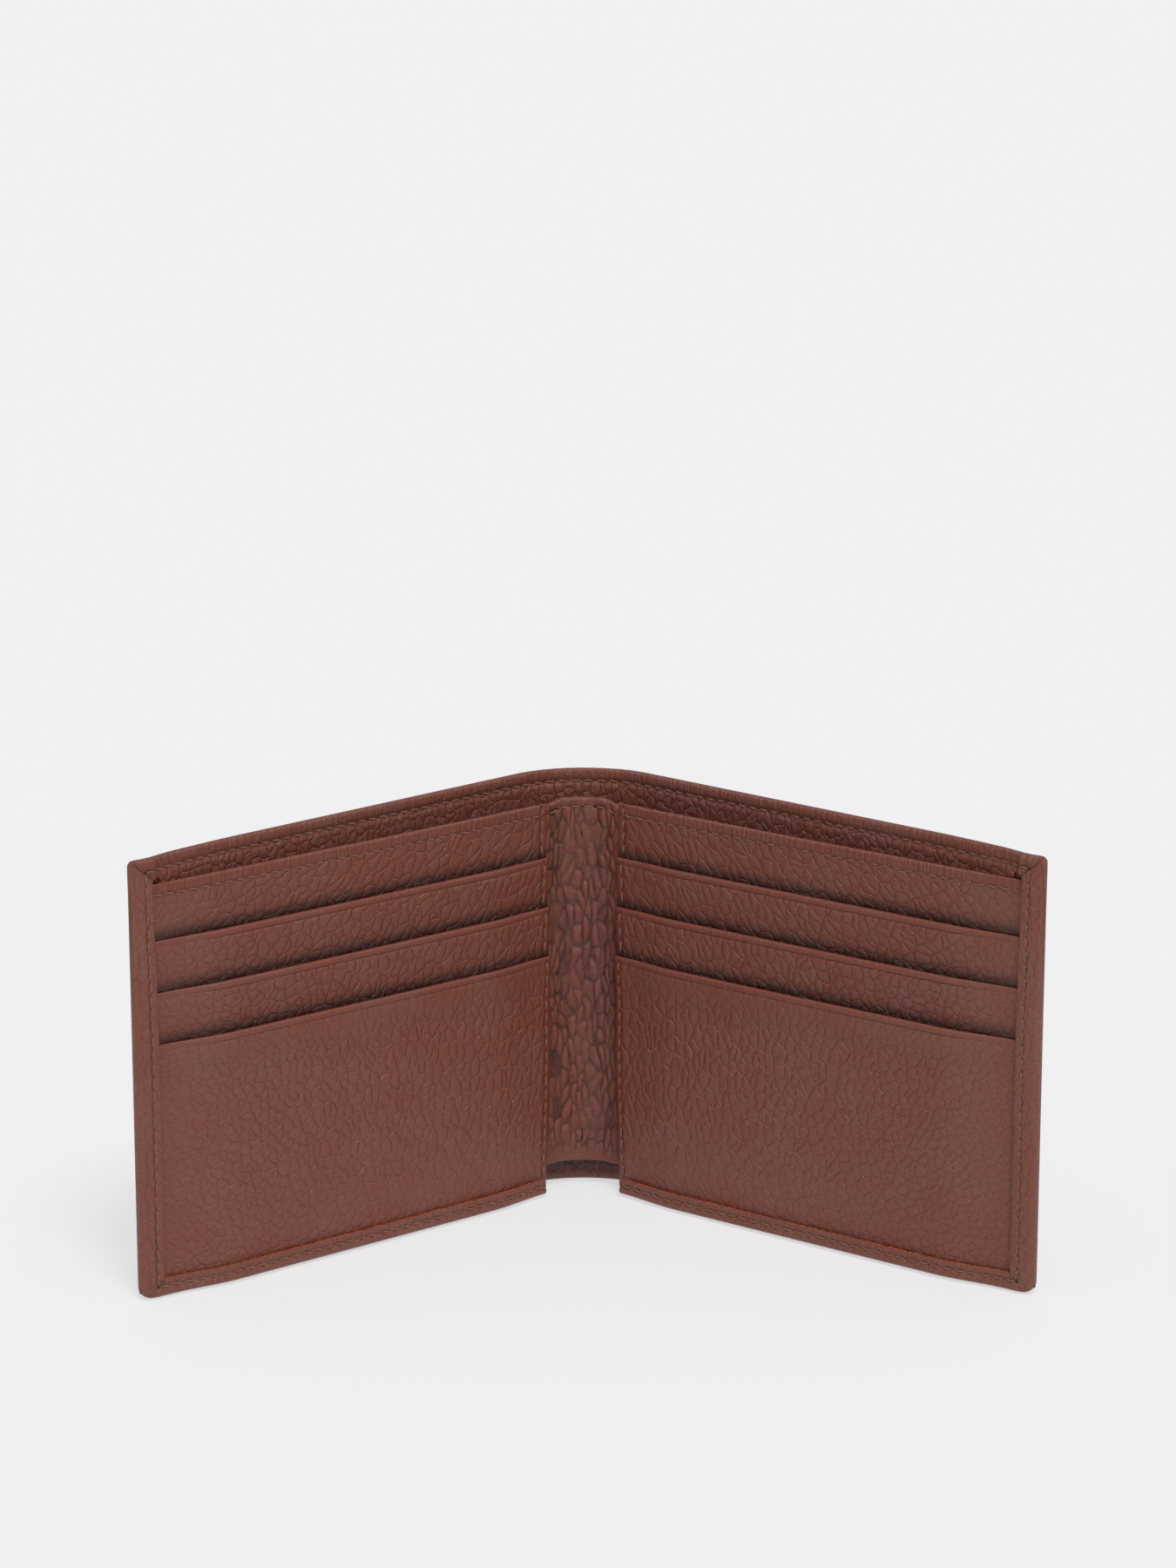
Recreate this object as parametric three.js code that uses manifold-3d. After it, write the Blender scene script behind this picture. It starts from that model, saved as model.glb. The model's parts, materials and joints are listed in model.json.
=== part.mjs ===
// Bifold wallet, standing open on its lower edge. Millimetres, +Z up, inside of the wallet towards -Y.
//
// A stiff spine carries two leaves. Each leaf turns about a vertical hinge line where the leather bends.
// Leaf coordinates: u runs from the hinge line to the outer edge, v from the hinge plane towards the
// inside of the wallet, z up. The left leaf is the right leaf mirrored.
import * as THREE from 'three';
import { mergeVertices } from 'three/addons/utils/BufferGeometryUtils.js';
import Module from 'manifold-3d';

// Overall sizes
const HEIGHT = 94.5;
const LEAF_LENGTH = 108.4;
const REST_ANGLE = 37.5;

// Leather, cloth and thread thicknesses, and the clearance between layers
const COVER_THICKNESS = 1.2;
const TURNED_THICKNESS = 0.8;
const SKIVED_THICKNESS = 0.5;
const PANEL_THICKNESS = 0.6;
const LINING_THICKNESS = 0.3;
const DIVIDER_THICKNESS = 0.2;
const THREAD_WIDTH = 0.5;
const THREAD_THICKNESS = 0.25;
const THREAD_CLEARANCE = 0.1;
const CLEARANCE = 0.2;

// Spine and hinge lines
const HINGE_X = 6;
const HINGE_CLEARANCE = 0.3;
const SPINE_CLEARANCE = 0.35;
const SPINE_CROWN = 1.25;
const CROWN_SHOULDER = 3.5;
const STRIP_THICKNESS = 0.5;
const STRIP_FOOT = 5.8;
const STRIP_UNDERLAP = 4;
const STRIP_SEAM_DROP = 2.1;

// Card side of a leaf
const INNER_EDGE = 2.8;
const PANEL_DROP = 5.5;
const DIVIDER_DROP = 1;
const UPPER_POCKET_DROP = 12;
const POCKET_PITCH = 11;
const POCKET_OVERLAP = 8;
const SLOT_DEPTH = 50;

// Turned hems of the cover, and how far each seam lies from its edge
const SIDE_HEM = 6.3;
const BOTTOM_HEM = 4.2;
const BOTTOM_HEM_START = 4.6;
const TOP_HEM = 10;
const SIDE_SEAM = 4.4;
const BOTTOM_SEAM = 2.6;
const TOP_SEAM = 2.8;
const PANEL_SEAM = 2.6;
const INNER_SEAM = 1.9;
const SEAM_MARGIN = 0.6;
const CORNER_RADIUS = 2.5;

// Bill compartment: how far the cover stands off at the spine, the share left of that at the outer edge,
// and over what lengths the cover comes back to the pockets
const BILL_GAP = 6;
const OUTER_GAP_SHARE = 0.15;
const OUTER_RAMP = 14;
const INNER_RAMP_START = 2;
const INNER_RAMP = 12;
const BELLY_HEIGHT = 80;

// Steps of the meshes
const COVER_COLUMNS = 24;
const COVER_ROWS = 12;
const SPINE_COLUMNS = 14;
const STEP_RISE = 0.3;

// Derived places
const OUTER_EDGE = INNER_EDGE + LEAF_LENGTH;
const STACK_OUTER = OUTER_EDGE - COVER_THICKNESS - CLEARANCE;
const STACK_FOOT = COVER_THICKNESS + CLEARANCE;
const PANEL_TOP = HEIGHT - PANEL_DROP;
const UPPER_POCKET_TOP = PANEL_TOP - UPPER_POCKET_DROP;
const MIDDLE_POCKET_TOP = UPPER_POCKET_TOP - POCKET_PITCH;
const LOWER_POCKET_TOP = MIDDLE_POCKET_TOP - POCKET_PITCH;
const LAYER_STEP = PANEL_THICKNESS + CLEARANCE;
const PANEL_BACK = DIVIDER_THICKNESS + CLEARANCE;
const PANEL_FRONT = PANEL_BACK + PANEL_THICKNESS;
const STACK_FRONT = PANEL_FRONT + 3 * LAYER_STEP;
const SPINE_RADIUS = CLEARANCE + BILL_GAP - SPINE_CLEARANCE;
const SPINE_OVERHANG = SPINE_RADIUS * Math.sin(THREE.MathUtils.degToRad(REST_ANGLE)) - SPINE_CLEARANCE;
const SPINE_REACH = HINGE_X + SPINE_OVERHANG;

const wasm = await Module();
wasm.setup();

const leather = (color) => new THREE.MeshStandardMaterial({ color, roughness: 0.55, metalness: 0 });
const cloth = (color) => new THREE.MeshStandardMaterial({ color, roughness: 0.9, metalness: 0 });
const materials = {
  cover: leather(0x70483f),
  pocket: leather(0x6d463e),
  strip: leather(0x5d3b33),
  lining: cloth(0x3f2b25),
  thread: cloth(0x8f6b52),
};

const smooth = (t) => {
  const c = THREE.MathUtils.clamp(t, 0, 1);
  return c * c * (3 - 2 * c);
};
const valueAt = (surface, u, z) => (typeof surface === 'function' ? surface(u, z) : surface);
const steps = ([from, to], count) => Array.from({ length: count + 1 }, (_, i) => from + ((to - from) * i) / count);

// How far the cover's turned-in face stands behind the pockets, beyond the layer clearance.
function billGap(u, z) {
  const taper = 1 - ((1 - OUTER_GAP_SHARE) * u) / OUTER_EDGE;
  const outer = smooth((OUTER_EDGE - SIDE_HEM - u) / OUTER_RAMP);
  const nearSpine = 1 - smooth((u - INNER_RAMP_START) / INNER_RAMP);
  const belly = Math.sin((Math.PI / 2) * THREE.MathUtils.clamp((z - BOTTOM_HEM) / BELLY_HEIGHT, 0, 1));
  return BILL_GAP * taper * outer * (belly + (1 - belly) * nearSpine);
}

// Faces of the cover side, from the bill compartment outwards.
const hemFace = (u, z) => -CLEARANCE - billGap(u, z);
const coverInside = (u, z) => hemFace(u, z) - SKIVED_THICKNESS;
const coverOutside = (u, z) => coverInside(u, z) - COVER_THICKNESS;

// The outside of the spine, which nests inside the leaves' covers: a flat crown between the hinge lines and
// an arc round each of them.
function spineOutside(x) {
  const past = Math.abs(x) - HINGE_X;
  if (past > 0) return -Math.sqrt(SPINE_RADIUS ** 2 - past ** 2);
  return -SPINE_RADIUS - SPINE_CROWN * smooth(-past / CROWN_SHOULDER);
}
const spineInside = (x) => spineOutside(x) + COVER_THICKNESS;
const spineHemFace = (x) => spineInside(x) + SKIVED_THICKNESS;

// The turned side lies on the pocket layers, which step back one layer per pitch above the lower pocket.
const HEM_SLOPE_TOP = LOWER_POCKET_TOP + 3 * POCKET_PITCH;
const HEM_ROWS = [0, LOWER_POCKET_TOP, HEM_SLOPE_TOP, HEIGHT];
function hemBack(u, z) {
  const climbed = (THREE.MathUtils.clamp(z, LOWER_POCKET_TOP, HEM_SLOPE_TOP) - LOWER_POCKET_TOP) / POCKET_PITCH;
  return STACK_FRONT - LAYER_STEP * climbed + CLEARANCE;
}
const hemFront = (u, z) => hemBack(u, z) + TURNED_THICKNESS;

// A closed sheet over a rectangle of u and z, between a back and a front surface.
function slab(side, { u, z, back, front, columns = 1, rows = 1 }) {
  const us = Array.isArray(columns) ? columns : steps(u, columns);
  const zs = Array.isArray(rows) ? rows : steps(z, rows);
  const points = [];
  for (const surface of [back, front]) {
    for (const height of zs) {
      for (const along of us) points.push(side * along, -valueAt(surface, along, height), height);
    }
  }
  const layer = us.length * zs.length;
  const at = (i, j, face) => face * layer + j * us.length + i;
  const faces = [];
  const quad = (a, b, c, d) => {
    if (side > 0) faces.push(a, b, c, a, c, d);
    else faces.push(a, c, b, a, d, c);
  };
  for (let j = 0; j < zs.length - 1; j++) {
    for (let i = 0; i < us.length - 1; i++) {
      quad(at(i, j, 1), at(i + 1, j, 1), at(i + 1, j + 1, 1), at(i, j + 1, 1));
      quad(at(i, j, 0), at(i, j + 1, 0), at(i + 1, j + 1, 0), at(i + 1, j, 0));
    }
  }
  const lastColumn = us.length - 1;
  const lastRow = zs.length - 1;
  for (let i = 0; i < lastColumn; i++) {
    quad(at(i, 0, 0), at(i + 1, 0, 0), at(i + 1, 0, 1), at(i, 0, 1));
    quad(at(i, lastRow, 1), at(i + 1, lastRow, 1), at(i + 1, lastRow, 0), at(i, lastRow, 0));
  }
  for (let j = 0; j < lastRow; j++) {
    quad(at(0, j, 0), at(0, j, 1), at(0, j + 1, 1), at(0, j + 1, 0));
    quad(at(lastColumn, j, 1), at(lastColumn, j, 0), at(lastColumn, j + 1, 0), at(lastColumn, j + 1, 1));
  }
  const geometry = new THREE.BufferGeometry();
  geometry.setAttribute('position', new THREE.Float32BufferAttribute(points, 3));
  geometry.setIndex(faces);
  return geometry;
}

function toSolid(geometry) {
  const bare = geometry.clone();
  bare.deleteAttribute('normal');
  bare.deleteAttribute('uv');
  const merged = mergeVertices(bare, 1e-4);
  return new wasm.Manifold(new wasm.Mesh({
    numProp: 3,
    vertProperties: new Float32Array(merged.attributes.position.array),
    triVerts: new Uint32Array(merged.index.array),
  }));
}

function toGeometry(solid) {
  const mesh = solid.getMesh();
  const geometry = new THREE.BufferGeometry();
  geometry.setAttribute('position', new THREE.Float32BufferAttribute(mesh.vertProperties, 3));
  geometry.setIndex(Array.from(mesh.triVerts));
  return geometry;
}

const join = (...geometries) => toGeometry(geometries.map(toSolid).reduce((a, b) => a.add(b)));
const keepInside = (geometry, tool) => toGeometry(toSolid(geometry).intersect(toSolid(tool)));

function piece(name, geometry, material) {
  const flat = geometry.toNonIndexed();
  flat.computeVertexNormals();
  const mesh = new THREE.Mesh(flat, material);
  mesh.name = name;
  return mesh;
}

// A block whose outer corners are rounded as the turned leather is.
function leafOutline(side) {
  const r = CORNER_RADIUS;
  const inner = -SPINE_REACH;
  const outline = new THREE.Shape();
  outline.moveTo(inner, 0);
  outline.lineTo(OUTER_EDGE - r, 0);
  outline.absarc(OUTER_EDGE - r, r, r, -Math.PI / 2, 0, false);
  outline.lineTo(OUTER_EDGE, HEIGHT - r);
  outline.absarc(OUTER_EDGE - r, HEIGHT - r, r, 0, Math.PI / 2, false);
  outline.lineTo(inner, HEIGHT);
  outline.closePath();
  const depth = 2 * (STACK_FRONT + BILL_GAP + COVER_THICKNESS + TURNED_THICKNESS + SKIVED_THICKNESS);
  const block = new THREE.ExtrudeGeometry(outline, { depth, bevelEnabled: false, curveSegments: 5 });
  block.translate(0, 0, -depth / 2);
  block.rotateX(Math.PI / 2);
  if (side < 0) block.rotateZ(Math.PI);
  return block;
}

// The outer leather of a leaf, with its top turned in and its side and bottom turned over the pockets.
function cover(side) {
  const back = slab(side, {
    u: [0, OUTER_EDGE], z: [0, HEIGHT], back: coverOutside, front: coverInside,
    columns: COVER_COLUMNS, rows: COVER_ROWS,
  });
  const topHem = slab(side, {
    u: [0, OUTER_EDGE], z: [HEIGHT - TOP_HEM, HEIGHT], front: hemFace,
    back: (u, z) => coverInside(u, z) - COVER_THICKNESS / 2, columns: COVER_COLUMNS, rows: 2,
  });
  const sideWall = slab(side, {
    u: [OUTER_EDGE - COVER_THICKNESS, OUTER_EDGE], z: [0, HEIGHT], back: coverOutside, front: hemFront,
    rows: HEM_ROWS,
  });
  const sideHem = slab(side, {
    u: [OUTER_EDGE - SIDE_HEM, OUTER_EDGE], z: [0, HEIGHT], back: hemBack, front: hemFront,
    rows: HEM_ROWS,
  });
  const bottomWall = slab(side, {
    u: [BOTTOM_HEM_START, OUTER_EDGE], z: [0, COVER_THICKNESS], front: hemFront,
    back: (u, z) => coverInside(u, z) - COVER_THICKNESS / 2, columns: COVER_COLUMNS,
  });
  const bottomHem = slab(side, {
    u: [BOTTOM_HEM_START, OUTER_EDGE], z: [0, BOTTOM_HEM], back: hemBack, front: hemFront,
  });
  return keepInside(join(back, topHem, sideWall, sideHem, bottomWall, bottomHem), leafOutline(side));
}

// Cloth on the inside of the cover, below the turned top.
function billLining(side) {
  return slab(side, {
    u: [0, STACK_OUTER], z: [STACK_FOOT, HEIGHT - TOP_HEM - CLEARANCE],
    back: (u, z) => hemFace(u, z) - LINING_THICKNESS, front: hemFace,
    columns: COVER_COLUMNS, rows: COVER_ROWS,
  });
}

// Cloth on the back of the pockets: the front wall of the bill compartment.
function divider(side) {
  return slab(side, {
    u: [INNER_EDGE, STACK_OUTER], z: [STACK_FOOT, PANEL_TOP - DIVIDER_DROP], back: 0, front: DIVIDER_THICKNESS,
  });
}

function backPanel(side) {
  return slab(side, {
    u: [INNER_EDGE, STACK_OUTER], z: [STACK_FOOT, PANEL_TOP], back: PANEL_BACK, front: PANEL_FRONT,
  });
}

// One card pocket's front, `layer` steps in front of the back panel.
function pocketFront(side, layer, z) {
  const back = PANEL_BACK + layer * LAYER_STEP;
  return slab(side, { u: [INNER_EDGE, STACK_OUTER], z, back, front: back + PANEL_THICKNESS });
}

// The cloth that carries a short pocket front down to the foot of its slot.
function pocketLining(side, layer, z) {
  const back = PANEL_BACK + layer * LAYER_STEP + (PANEL_THICKNESS - LINING_THICKNESS) / 2;
  return slab(side, { u: [INNER_EDGE, STACK_OUTER], z, back, front: back + LINING_THICKNESS });
}

// The side of the centre strip that is sewn behind the pockets.
function stripWing(side) {
  return slab(side, {
    u: [HINGE_CLEARANCE, INNER_EDGE + STRIP_UNDERLAP], z: [STRIP_FOOT, PANEL_TOP],
    back: -CLEARANCE - STRIP_THICKNESS, front: -CLEARANCE,
  });
}

// A flat run of thread that lies on a surface.
function seam(side, { u, z, surface, columns, rows }) {
  const lift = (extra) => (along, height) => valueAt(surface, along, height) + THREAD_CLEARANCE + extra;
  return slab(side, { u, z, back: lift(0), front: lift(THREAD_THICKNESS), columns, rows });
}

const across = (centre) => [centre - THREAD_WIDTH / 2, centre + THREAD_WIDTH / 2];

function coverTopSeam(side) {
  return seam(side, {
    u: [HINGE_CLEARANCE, OUTER_EDGE - SIDE_HEM - SEAM_MARGIN], z: across(HEIGHT - TOP_SEAM), surface: hemFace,
    columns: COVER_COLUMNS,
  });
}

function panelTopSeam(side) {
  return seam(side, {
    u: [INNER_EDGE + INNER_SEAM + SEAM_MARGIN, OUTER_EDGE - SIDE_HEM - SEAM_MARGIN],
    z: across(PANEL_TOP - PANEL_SEAM), surface: PANEL_FRONT,
  });
}

// The seam along the turned side and bottom, in one run round the corner.
function edgeSeam(side) {
  const foot = BOTTOM_SEAM - THREAD_WIDTH / 2;
  const upright = seam(side, {
    u: across(OUTER_EDGE - SIDE_SEAM), z: [foot, HEIGHT - TOP_SEAM], surface: hemFront,
    rows: [foot, ...HEM_ROWS.slice(1, -1), HEIGHT - TOP_SEAM],
  });
  const level = seam(side, {
    u: [BOTTOM_HEM_START + SEAM_MARGIN, OUTER_EDGE - SIDE_SEAM], z: across(BOTTOM_SEAM), surface: hemFront,
  });
  return join(upright, level);
}

// The seam down the inner edge, which steps over the top of each pocket.
function innerSeam(side) {
  const tops = [LOWER_POCKET_TOP, MIDDLE_POCKET_TOP, UPPER_POCKET_TOP];
  const stepped = (u, z) => PANEL_FRONT + LAYER_STEP * tops.filter((top) => z <= top + STEP_RISE / 2).length;
  const foot = BOTTOM_HEM + SEAM_MARGIN;
  const rows = [foot, ...tops.flatMap((top) => [top, top + STEP_RISE]), PANEL_TOP - PANEL_SEAM];
  return seam(side, { u: across(INNER_EDGE + INNER_SEAM), surface: stepped, rows });
}

function leaf(side, suffix) {
  const group = new THREE.Group();
  const add = (name, geometry, material) => group.add(piece(`${name}_${suffix}`, geometry, material));
  const upperFoot = MIDDLE_POCKET_TOP - POCKET_OVERLAP;
  const middleFoot = LOWER_POCKET_TOP - POCKET_OVERLAP;
  const slotFoot = (top) => Math.max(STACK_FOOT, top - SLOT_DEPTH);
  add('cover', cover(side), materials.cover);
  add('bill_lining', billLining(side), materials.lining);
  add('divider', divider(side), materials.lining);
  add('back_panel', backPanel(side), materials.pocket);
  add('pocket_upper', pocketFront(side, 1, [upperFoot, UPPER_POCKET_TOP]), materials.pocket);
  add('pocket_upper_lining', pocketLining(side, 1, [slotFoot(UPPER_POCKET_TOP), upperFoot - CLEARANCE]),
    materials.lining);
  add('pocket_middle', pocketFront(side, 2, [middleFoot, MIDDLE_POCKET_TOP]), materials.pocket);
  add('pocket_middle_lining', pocketLining(side, 2, [slotFoot(MIDDLE_POCKET_TOP), middleFoot - CLEARANCE]),
    materials.lining);
  add('pocket_lower', pocketFront(side, 3, [STACK_FOOT, LOWER_POCKET_TOP]), materials.pocket);
  add('strip_wing', stripWing(side), materials.strip);
  add('seam_cover_top', coverTopSeam(side), materials.thread);
  add('seam_panel_top', panelTopSeam(side), materials.thread);
  add('seam_edge', edgeSeam(side), materials.thread);
  add('seam_inner', innerSeam(side), materials.thread);
  group.position.x = side * HINGE_X;
  group.rotation.z = -side * THREE.MathUtils.degToRad(REST_ANGLE);
  return group;
}

// The leather over the spine, with its top and bottom turned in.
function coverSpine() {
  const reach = [-SPINE_REACH, SPINE_REACH];
  const columns = SPINE_COLUMNS;
  const middle = (x) => spineInside(x) - COVER_THICKNESS / 2;
  return join(
    slab(1, { u: reach, z: [0, HEIGHT], back: spineOutside, front: spineInside, columns }),
    slab(1, { u: reach, z: [HEIGHT - TOP_HEM, HEIGHT], back: middle, front: spineHemFace, columns }),
    slab(1, { u: reach, z: [0, BOTTOM_HEM], back: middle, front: spineHemFace, columns }),
  );
}

function spineLining() {
  return slab(1, {
    u: [-SPINE_REACH, SPINE_REACH], z: [BOTTOM_HEM + CLEARANCE, HEIGHT - TOP_HEM - CLEARANCE],
    back: (x) => spineHemFace(x) - LINING_THICKNESS, front: spineHemFace, columns: SPINE_COLUMNS,
  });
}

// The middle of the strip that joins the two sets of pockets.
function centreStrip() {
  const half = HINGE_X - HINGE_CLEARANCE;
  return slab(1, {
    u: [-half, half], z: [STRIP_FOOT, PANEL_TOP], back: -CLEARANCE - STRIP_THICKNESS, front: -CLEARANCE,
  });
}

function spine() {
  const group = new THREE.Group();
  const half = HINGE_X - HINGE_CLEARANCE - SEAM_MARGIN;
  const reach = SPINE_REACH - SEAM_MARGIN;
  group.add(piece('cover_spine', coverSpine(), materials.cover));
  group.add(piece('bill_lining_spine', spineLining(), materials.lining));
  group.add(piece('centre_strip', centreStrip(), materials.strip));
  group.add(piece('seam_cover_top_spine', seam(1, {
    u: [-reach, reach], z: across(HEIGHT - TOP_SEAM), surface: spineHemFace, columns: SPINE_COLUMNS,
  }), materials.thread));
  group.add(piece('seam_strip_top', seam(1, {
    u: [-half, half], z: across(PANEL_TOP - STRIP_SEAM_DROP), surface: -CLEARANCE,
  }), materials.thread));
  return group;
}

const wallet = new THREE.Group();
wallet.add(spine(), leaf(-1, 'left'), leaf(1, 'right'));

// The origin is the middle of the footprint on the surface that the wallet stands on.
wallet.updateMatrixWorld(true);
const box = new THREE.Box3().setFromObject(wallet, true);
wallet.position.set(-(box.min.x + box.max.x) / 2, -(box.min.y + box.max.y) / 2, -box.min.z);

export default wallet;
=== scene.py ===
"""Bifold wallet: leather, cloth, thread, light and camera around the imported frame.

Lengths are millimetres until a mesh is made. A leaf has its own coordinates: u along the leaf from its
hinge line, v from the hinge plane towards the inside of the wallet, and z up. The cover also has s, the
length along the leather from the middle of the spine, which runs into u past the bend.
"""
import json
import math
import random

import bmesh
import bpy
import numpy as np
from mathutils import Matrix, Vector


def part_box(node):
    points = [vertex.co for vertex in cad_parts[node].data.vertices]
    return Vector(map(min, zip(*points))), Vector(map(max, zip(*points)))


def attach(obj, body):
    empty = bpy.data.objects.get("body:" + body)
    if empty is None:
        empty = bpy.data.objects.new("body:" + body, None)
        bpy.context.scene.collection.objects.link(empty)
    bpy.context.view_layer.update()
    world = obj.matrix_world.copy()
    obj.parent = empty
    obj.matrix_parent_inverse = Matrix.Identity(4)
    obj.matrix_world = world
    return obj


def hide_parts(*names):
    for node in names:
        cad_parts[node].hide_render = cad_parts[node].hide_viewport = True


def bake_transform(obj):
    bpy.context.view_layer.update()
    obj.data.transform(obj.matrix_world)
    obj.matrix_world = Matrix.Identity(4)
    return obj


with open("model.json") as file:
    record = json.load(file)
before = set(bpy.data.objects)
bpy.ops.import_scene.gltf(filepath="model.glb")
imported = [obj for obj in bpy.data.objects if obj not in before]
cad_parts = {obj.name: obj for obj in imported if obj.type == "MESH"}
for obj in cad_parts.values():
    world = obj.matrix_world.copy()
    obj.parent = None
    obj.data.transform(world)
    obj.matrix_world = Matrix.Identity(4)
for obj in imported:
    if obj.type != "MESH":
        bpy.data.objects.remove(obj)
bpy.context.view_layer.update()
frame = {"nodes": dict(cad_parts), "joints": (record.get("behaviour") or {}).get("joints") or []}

MM = 0.001
NODES = frame["nodes"]
JOINTS = {joint["child"]: joint for joint in frame["joints"]}

# Leather and cloth
COVER_T = 1.0
HEM_T = 0.6
POCKET_T = 0.62
FLAP_T = 0.3
STRIP_T = 0.6
CLOTH_T = 0.2

# Hems and folds
SIDE_HEM = 5.0
BOTTOM_HEM = 4.2
BOTTOM_HEM_AT_SPINE = 9.0
TOP_HEM = 10.0
TOP_HEM_AT_CORNER = 4.4
BOTTOM_HEM_START = 4.6
HEM_END_ROUND = 1.5
EDGE_FOLD = 0.9
TOP_FOLD = 0.55
EDGE_INSET = 1.3
CORNER_LOW = 1.3
CORNER_TOP = 0.3
POCKET_FOLD = 0.36
FLAP = 4.5

# Seams, as distances from the edge they follow
STITCH_PITCH = 2.85
SIDE_SEAM = 3.5
BOTTOM_SEAM = 2.6
TOP_SEAM = 2.8
PANEL_SEAM = 2.6
POCKET_CREASE = 1.6
INNER_SEAM = 1.3
STRIP_SEAM = 2.1
THREAD_R = 0.21

# How far the cover stands off the pockets, and where
BILL_GAP = 6.0
GAP_TAPER = 0.85
GAP_OUTER_RAMP = 26.0
GAP_SPINE_START = 2.0
GAP_SPINE_RAMP = 22.0
BELLY_HEIGHT = 80.0

# How the seams press the stack of pockets, as shares of its depth
INNER_PRESS = 0.42
INNER_PRESS_RAMP = 16.0
OUTER_PRESS = 0.62
OUTER_PRESS_START = 24.0
OUTER_PRESS_RAMP = 18.0
INNER_SKIVE = 0.7
OUTER_SKIVE = 0.45

# Pocket mouths
MOUTH_BULGE = 0.75
PANEL_BULGE = 0.3
MOUTH_HEIGHT = 10.0
MOUTH_SHADE = 2.0

# The cover's spine and the centre strip
SPINE_RADIUS = 24.0
SPINE_WRINKLE = 0.18
STRIP_BEHIND = 0.45
STRIP_BEND = 8.0
STRIP_FLAP = 5.0
STRIP_FOLD = 0.45
STRIP_RISE = 0.2
STRIP_WRINKLE = 0.55
WING_DROP = 1.1
WING_DROP_FROM = 3.5
WING_DROP_OVER = 5.5

# Light and floor
FLOOR_ALBEDO = 0.25
FLOOR_GLOW = 0.6
FLOOR_REACH = 25.0
DOME_HORIZON = 0.2
DOME_ZENITH = 0.5
KEY = 2.1

# What a patch carries for the materials, and each mask's rest value
MASKS = {"thickness": 1.0, "smoothness": 0.0, "burnish": 0.0, "cavity": 0.0, "pleats": 0.0}


def smooth(t):
    t = np.clip(t, 0.0, 1.0)
    return t * t * (3 - 2 * t)


def lerp(a, b, t):
    return a + (b - a) * t


def ridge(distance, width):
    """1 on a line and 0 away from it."""
    return np.exp(-(distance / width) ** 2)


class Leaf:
    """One leaf's place in the frame: its hinge line, its direction and its inside face."""

    def __init__(self, side, body):
        self.side = side
        self.body = body
        self.name = body.split("_")[0]
        joint = JOINTS[body]
        self.turn = math.radians(-joint["range_deg"][0])
        self.hinge = np.array(joint["pos_m"][:2]) / MM
        self.along = np.array([side * math.cos(self.turn), -math.sin(self.turn)])
        self.front = np.array([-side * math.sin(self.turn), -math.cos(self.turn)])

    def place(self, u, v, z):
        u, v, z = np.broadcast_arrays(u, v, z)
        xy = self.hinge + u[..., None] * self.along + v[..., None] * self.front
        return np.concatenate([xy, z[..., None]], axis=-1)

    def node(self, name):
        return f"{name}_{self.name}"

    def extent(self, name):
        """Lowest and highest (u, v, z) of a CAD node."""
        mesh = NODES[self.node(name)].data
        co = np.empty(len(mesh.vertices) * 3)
        mesh.vertices.foreach_get("co", co)
        co = co.reshape(-1, 3) / MM
        flat = co[:, :2] - self.hinge
        local = np.stack([flat @ self.along, flat @ self.front, co[:, 2]], axis=1)
        return local.min(0), local.max(0)


LEAVES = [Leaf(-1, "left_leaf"), Leaf(1, "right_leaf")]
RIGHT = LEAVES[1]

OUTER, _, HEIGHT = RIGHT.extent("cover")[1]
HINGE_X, HINGE_Y = RIGHT.hinge
STACK_INNER = RIGHT.extent("back_panel")[0][0]
STACK_OUTER = OUTER - EDGE_INSET - COVER_T - 0.5
LAYERS = ["back_panel", "pocket_upper", "pocket_middle", "pocket_lower"]
LAYER_TOPS = [RIGHT.extent(name)[1][2] for name in LAYERS]
LAYER_FRONTS = [RIGHT.extent(name)[1][1] for name in LAYERS]
PANEL_TOP = LAYER_TOPS[0]
STACK_FRONT = LAYER_FRONTS[-1]
STRIP_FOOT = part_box("centre_strip")[0].z / MM
LINING_FOOT = RIGHT.extent("bill_lining")[0][2]
LINING_TOP = RIGHT.extent("bill_lining")[1][2]

# The cover's main sheet goes round the spine in one arc, and meets the leaves' straight lines
HEM_FACE = -0.2
COVER_V = HEM_FACE - BILL_GAP - HEM_T - COVER_T / 2
ARC_END = SPINE_RADIUS * RIGHT.turn
ARC_END_U = ((SPINE_RADIUS + COVER_V) * math.sin(RIGHT.turn) - HINGE_X) / math.cos(RIGHT.turn)
ARC_CENTRE = -(COVER_V + SPINE_RADIUS) * math.cos(RIGHT.turn) - ARC_END_U * math.sin(RIGHT.turn)
LEAF_START = ARC_END - ARC_END_U
S_EDGE = LEAF_START + OUTER - EDGE_INSET
S_HEM = S_EDGE - SIDE_HEM
S_FOLD = S_EDGE - COVER_T / 2 - EDGE_FOLD
Z_FOLD_LOW = COVER_T / 2 + EDGE_FOLD
Z_FOLD_HIGH = HEIGHT - COVER_T / 2 - TOP_FOLD


# Seeded noise, for shapes that the meshes carry

def lattice(seed):
    return np.random.default_rng(seed).random((64, 64, 2))


def value_noise(x, y, seed):
    """Smooth noise from -1 to 1 with features one unit wide."""
    table = lattice(seed)[..., 0]
    xi, yi = np.floor(x).astype(int), np.floor(y).astype(int)
    fx, fy = smooth(x - xi), smooth(y - yi)

    def at(i, j):
        return table[(xi + i) % 64, (yi + j) % 64]

    return 2 * lerp(lerp(at(0, 0), at(1, 0), fx), lerp(at(0, 1), at(1, 1), fx), fy) - 1


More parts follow.
